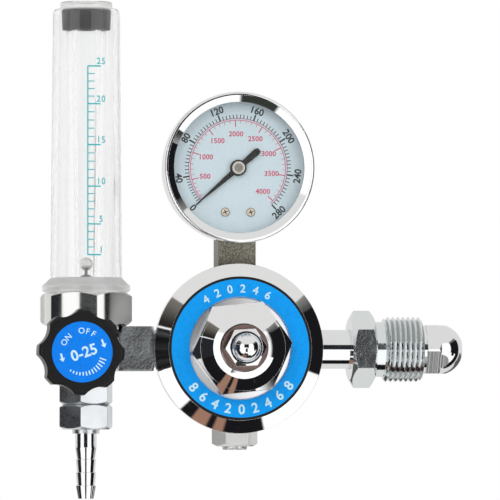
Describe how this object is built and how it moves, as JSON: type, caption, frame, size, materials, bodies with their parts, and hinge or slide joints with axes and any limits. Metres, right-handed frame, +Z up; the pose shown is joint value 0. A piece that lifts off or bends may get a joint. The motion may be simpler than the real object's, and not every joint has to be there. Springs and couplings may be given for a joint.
{
  "type": "shielding gas regulator with flowmeter",
  "caption": "Cylinder gas regulator with a round bonnet, bottom-entry pressure gauge, needle-valve flowmeter in a clear cover, threaded inlet union and hose tail.",
  "frame": {"origin": "centre of the union nut's male thread at its outer end", "axes": "+X along the inlet towards the gas cylinder, -Y towards the reader of the gauge, +Z up"},
  "size_m": [0.1523, 0.054, 0.1741],
  "materials": {
    "chrome_plate": "polished",
    "brushed_chrome": "brushed",
    "dark_nickel": "rough cast, dull nickel plated",
    "satin_nickel": "satin",
    "blue_print": "printed and laminated",
    "black_plastic": "satin moulded",
    "clear_plastic": "clear moulded",
    "window": "clear",
    "dial_paint": "printed",
    "black_paint": "satin",
    "brass": "machined",
    "spring_steel": "drawn",
    "ball_steel": "ground",
    "rubber": "moulded"
  },
  "bodies": {
    "regulator": {"regulator_body": "chrome_plate", "bonnet": "chrome_plate", "label_ring": "blue_print", "diaphragm": "rubber", "main_spring": "spring_steel", "spring_button": "spring_steel", "adjusting_screw": "spring_steel", "cap_washer": "chrome_plate", "acorn_nut": "chrome_plate", "seat_nozzle": "brass", "poppet_spring": "spring_steel", "relief_body": "chrome_plate", "relief_spring": "spring_steel", "relief_plug": "chrome_plate", "inlet_nipple": "brushed_chrome", "inlet_filter": "brass", "gauge_case": "chrome_plate", "gauge_bezel": "chrome_plate", "gauge_lens": "window", "gauge_dial": "dial_paint", "dial_screws": "brass", "gauge_socket": "satin_nickel", "bourdon_tube": "brass", "movement_frame": "brass", "hairspring": "brass", "outlet_block": "dark_nickel", "valve_body": "chrome_plate", "tube_base": "chrome_plate", "flow_cover": "clear_plastic", "metering_tube": "clear_plastic", "tube_gasket": "rubber", "top_seal": "rubber", "float_stop": "brass", "valve_packing": "rubber", "valve_gland": "chrome_plate", "outlet_union": "chrome_plate", "hose_nut": "chrome_plate", "hose_barb": "brushed_chrome"},
    "union_nut": {"inlet_nut": "chrome_plate"},
    "diaphragm_stack": {"diaphragm_plate": "brass"},
    "poppet": {"valve_poppet": "brass"},
    "relief": {"relief_poppet": "brass"},
    "pointer": {"pointer_arbor": "brass", "gauge_pointer": "black_paint"},
    "sector": {"sector_gear": "brass"},
    "link": {"tip_link": "brass"},
    "float": {"float_ball": "ball_steel"},
    "spindle": {"valve_spindle": "brass"},
    "knob": {"flow_knob": "black_plastic", "knob_label": "blue_print"}
  },
  "joints": [
    {"name": "union_nut_turn", "type": "hinge", "parent": "regulator", "child": "union_nut", "pos_m": [-0.0157, 0, 0], "axis": [1, 0, 0], "continuous": true},
    {"name": "knob_lift", "type": "slide", "parent": "regulator", "child": "spindle", "axis": [0, -1, 0], "range_m": [0, 0.0019]},
    {"name": "knob_turn", "type": "hinge", "parent": "spindle", "child": "knob", "pos_m": [-0.1224, -0.02, -0.0016], "axis": [0, -1, 0], "range_deg": [0, 900]},
    {"name": "float_rise", "type": "slide", "parent": "regulator", "child": "float", "axis": [0, 0, 1], "range_m": [0, 0.086]},
    {"name": "pointer_turn", "type": "hinge", "parent": "regulator", "child": "pointer", "pos_m": [-0.0657, -0.005, 0.0633], "axis": [0, 1, 0], "range_deg": [0, 272], "stiffness_Nm_per_rad": 0.0002, "deforming": ["bourdon_tube", "hairspring"]},
    {"name": "sector_turn", "type": "hinge", "parent": "regulator", "child": "sector", "pos_m": [-0.0657, -0.0031, 0.0507], "axis": [0, -1, 0], "range_deg": [0, 46]},
    {"name": "link_swing", "type": "hinge", "parent": "sector", "child": "link", "pos_m": [-0.05873, -0.0018, 0.05009], "axis": [0, 1, 0], "range_deg": [0, 69]},
    {"name": "diaphragm_travel", "type": "slide", "parent": "regulator", "child": "diaphragm_stack", "axis": [0, -1, 0], "range_m": [0, 0.00068], "stiffness_N_per_m": 20000, "deforming": ["main_spring", "diaphragm"]},
    {"name": "poppet_travel", "type": "slide", "parent": "regulator", "child": "poppet", "axis": [0, -1, 0], "range_m": [0, 0.00068], "deforming": ["poppet_spring"]},
    {"name": "relief_lift", "type": "slide", "parent": "regulator", "child": "relief", "axis": [0, 0, -1], "range_m": [0, 0.0012], "stiffness_N_per_m": 3000, "deforming": ["relief_spring"]}
  ],
  "couplings": [
    {"joint": "knob_lift", "follows": "knob_turn", "m_per_rad": 0.00011937},
    {"joint": "sector_turn", "follows": "pointer_turn", "ratio": 0.16667},
    {"joint": "link_swing", "follows": "pointer_turn", "ratio": 0.24926},
    {"joint": "poppet_travel", "follows": "diaphragm_travel", "ratio": 1}
  ]
}
